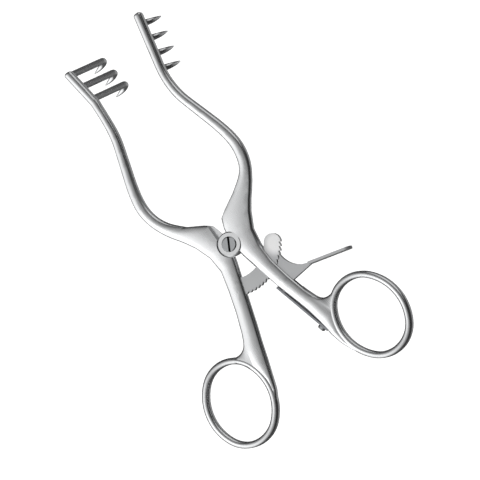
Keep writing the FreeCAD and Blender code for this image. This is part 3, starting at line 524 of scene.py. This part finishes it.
class RETRACTOR_OT_screws(bpy.types.Operator):
    """Finishes the pivot screw, the spring's screw and the lever's pin"""
    bl_idname = "retractor.screws"
    bl_label = "Screws and pin"

    def execute(self, context):
        look = context.scene.retractor_finish
        # Turned and polished stainless bar
        turned = brushed_steel("Turned stainless bar", look.screw_colour, look.screw_gloss,
                               0.2, (1, 1, 1), 0.004)
        # Painted shade: the slot's inside is coloured dull and nearly black
        slot_shade = brushed_steel("Painted shade in hinge screw slot", look.slot_shade_colour, 0.6,
                               0.3, (1, 1, 1), 0.02)
        hinge = dress(merged_copy("pivot_screw", "hinge_screw"), "pivot_screw", turned)
        hinge.data.materials.append(slot_shade)
        paint_slot_shade(hinge.data)
        dress(merged_copy("spring_screw", "leaf_screw"), "spring_screw", turned)
        # The pin's ends are ground flush with the half, so they share its finish
        satin = bpy.data.materials["Satin polished stainless steel"]
        pin = dress(merged_copy("lever_pin", "pawl_pin", weighted=False), "lever_pin", satin)
        blend_ends(pin, bpy.data.objects["right_half_polished"])
        return {"FINISHED"}


class RETRACTOR_OT_stage(bpy.types.Operator):
    """Sets the paper floor, the soft light and the camera"""
    bl_idname = "retractor.stage"
    bl_label = "Studio"

    def execute(self, context):
        stage = context.scene.retractor_stage
        set_floor(stage)
        set_light(stage)
        set_camera(stage)
        return {"FINISHED"}


# Studio

def set_floor(stage):
    """A plain pale sheet of paper, large enough to fill every view."""
    half = 3.0
    corners = [(-half, -half), (half, -half), (half, half), (-half, half)]
    mesh = bpy.data.meshes.new("paper_floor")
    mesh.from_pydata([(x, y, -stage.floor_drop) for x, y in corners], [], [(0, 1, 2, 3)])
    floor = bpy.data.objects.new("paper_floor", mesh)
    bpy.context.scene.collection.objects.link(floor)
    material, tree, output = fresh_material("Matt white paper")
    shader = add_node(tree, "ShaderNodeBsdfPrincipled",
                      {"Base Color": (*stage.floor_colour, 1), "Roughness": 0.9,
                       "Emission Color": (1, 1, 1, 1), "Emission Strength": 0.6})
    tree.links.new(shader.outputs["BSDF"], output.inputs["Surface"])
    mesh.materials.append(material)
    floor.visible_glossy = False


def set_light(stage):
    """A dim room that brightens towards one side and above, and one large soft light."""
    world = bpy.data.worlds.new("Studio room")
    world.use_nodes = True
    tree = world.node_tree
    tree.nodes.clear()
    place = add_node(tree, "ShaderNodeTexCoord").outputs["Generated"]
    level = None
    # Each entry: direction, cosine where it starts and where it is full, brightness. The sum
    # starts at 0.03. The third is a factor that puts out what shines from under the table.
    for direction, start, full, bright, operation in (
            ((-0.88, -0.20, 0.43), 0.40, 0.85, 0.80, "ADD"),
            ((-0.60, -0.15, 0.78), -0.05, 0.85, 0.48, "ADD"),
            ((0.0, 0.0, 1.0), -0.55, -0.12, 1.0, "MULTIPLY"),
            ((0.80, 0.58, 0.10), 0.84, 0.94, 0.85, "ADD"),
            ((0.35, 0.00, -0.94), 0.86, 0.96, 0.28, "ADD"),
            ((0.0, 0.0, -1.0), 0.10, 0.80, 0.10, "ADD")):
        toward = add_node(tree, "ShaderNodeVectorMath", {"operation": "DOT_PRODUCT"})
        tree.links.new(place, toward.inputs[0])
        toward.inputs[1].default_value = Vector(direction).normalized()
        patch = add_node(tree, "ShaderNodeMapRange",
                         {"From Min": start, "From Max": full, "To Max": bright,
                          "interpolation_type": "SMOOTHSTEP"},
                         {"Value": toward.outputs["Value"]}).outputs["Result"]
        total = add_node(tree, "ShaderNodeMath", {"operation": operation})
        tree.links.new(patch, total.inputs[0])
        total.inputs[1].default_value = 0.03
        if level is not None:
            tree.links.new(level, total.inputs[1])
        level = total.outputs["Value"]
    grey = add_node(tree, "ShaderNodeCombineColor", {},
                    {"Red": level, "Green": level, "Blue": level}).outputs["Color"]
    room = add_node(tree, "ShaderNodeBackground", {"Strength": 1.0}, {"Color": grey})
    output = add_node(tree, "ShaderNodeOutputWorld")
    tree.links.new(room.outputs["Background"], output.inputs["Surface"])
    bpy.context.scene.world = world
    lamp = bpy.data.lights.new("soft_box", "AREA")
    lamp.shape = "RECTANGLE"
    lamp.size, lamp.size_y = 0.5, 1.2
    lamp.energy = stage.key_power
    box = bpy.data.objects.new("soft_box", lamp)
    box.location = (-1.1, -0.1, 0.8)
    box.rotation_euler = (Vector((0, 0, 0)) - box.location).to_track_quat("-Z", "Y").to_euler()
    bpy.context.scene.collection.objects.link(box)


def set_camera(stage):
    """The photo's view: 72 degrees above the horizon, 1.8 m away."""
    right = Vector((0.78587, -0.53286, -0.31379))
    up = Vector((0.55659, 0.83062, -0.01655))
    back = right.cross(up)
    camera = bpy.data.cameras.new("camera")
    camera.lens = stage.lens
    camera.sensor_width = 36
    camera.clip_start, camera.clip_end = 0.05, 20
    eye = bpy.data.objects.new("camera", camera)
    turn = Matrix((right, up, back)).transposed()
    eye.matrix_world = Matrix.Translation(Vector((488.69, -291.47, 1707.7)) * MM) @ turn.to_4x4()
    bpy.context.scene.collection.objects.link(eye)
    bpy.context.scene.camera = eye
    bpy.context.scene.view_settings.view_transform = "Standard"


class RETRACTOR_PT_panel(bpy.types.Panel):
    bl_label = "Self retaining retractor"
    bl_idname = "RETRACTOR_PT_panel"
    bl_space_type = "VIEW_3D"
    bl_region_type = "UI"
    bl_category = "Retractor"

    def draw(self, context):
        for settings in (context.scene.retractor_finish, context.scene.retractor_stage):
            for name in settings.__annotations__:
                self.layout.prop(settings, name)
        for operator in OPERATORS:
            self.layout.operator(operator.bl_idname)


OPERATORS = (RETRACTOR_OT_halves, RETRACTOR_OT_rack, RETRACTOR_OT_lever, RETRACTOR_OT_screws,
             RETRACTOR_OT_stage)
CLASSES = (RetractorFinish, RetractorStage, *OPERATORS, RETRACTOR_PT_panel)


def register():
    for item in CLASSES:
        bpy.utils.register_class(item)
    bpy.types.Scene.retractor_finish = PointerProperty(type=RetractorFinish)
    bpy.types.Scene.retractor_stage = PointerProperty(type=RetractorStage)


def unregister():
    del bpy.types.Scene.retractor_stage
    del bpy.types.Scene.retractor_finish
    for item in reversed(CLASSES):
        bpy.utils.unregister_class(item)


def main():
    register()
    bpy.ops.retractor.halves()
    bpy.ops.retractor.rack()
    bpy.ops.retractor.lever()
    bpy.ops.retractor.screws()
    bpy.ops.retractor.stage()


if __name__ == "__main__":
    main()
